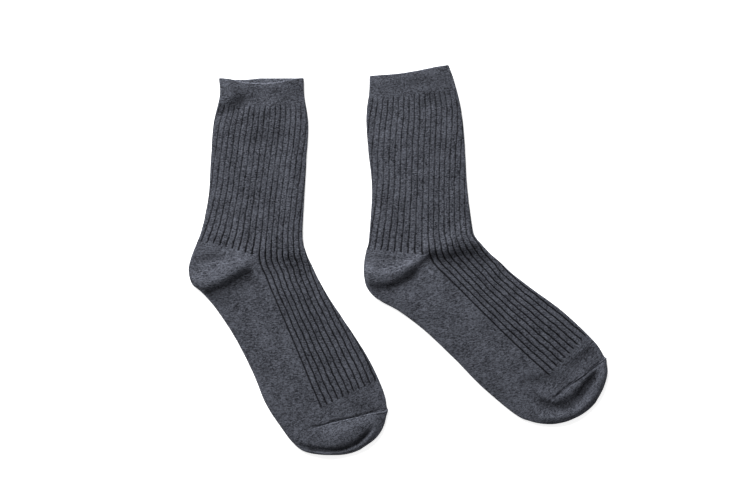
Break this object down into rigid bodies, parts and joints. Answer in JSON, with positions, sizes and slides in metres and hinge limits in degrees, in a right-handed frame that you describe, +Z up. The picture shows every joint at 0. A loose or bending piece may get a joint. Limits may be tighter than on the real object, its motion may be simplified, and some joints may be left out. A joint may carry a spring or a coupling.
{
  "type": "pair of ribbed crew socks",
  "caption": "Knitted crew socks laid flat side by side, with ribbed legs and insteps and plain cuffs, heels, soles and toes.",
  "frame": {"origin": "on the surface that the socks lie on, at the middle of the pair's bounding box", "axes": "+Z up off the surface, +Y from the toes towards the cuffs, +X from the left sock towards the right one"},
  "size_m": [0.3778, 0.351, 0.0067],
  "materials": {
    "cuff_knit": "plain knitted welt in heathered grey yarn",
    "ribbed_knit": "wide ribs knitted in heathered grey yarn",
    "plain_knit": "plain knit in heathered grey yarn"
  },
  "bodies": {
    "root": {"left_cuff": "cuff_knit", "left_leg": "ribbed_knit", "left_heel": "plain_knit", "left_instep": "ribbed_knit", "left_sole": "plain_knit", "left_toe": "plain_knit", "right_cuff": "cuff_knit", "right_leg": "ribbed_knit", "right_heel": "plain_knit", "right_instep": "ribbed_knit", "right_sole": "plain_knit", "right_toe": "plain_knit"}
  },
  "joints": []
}
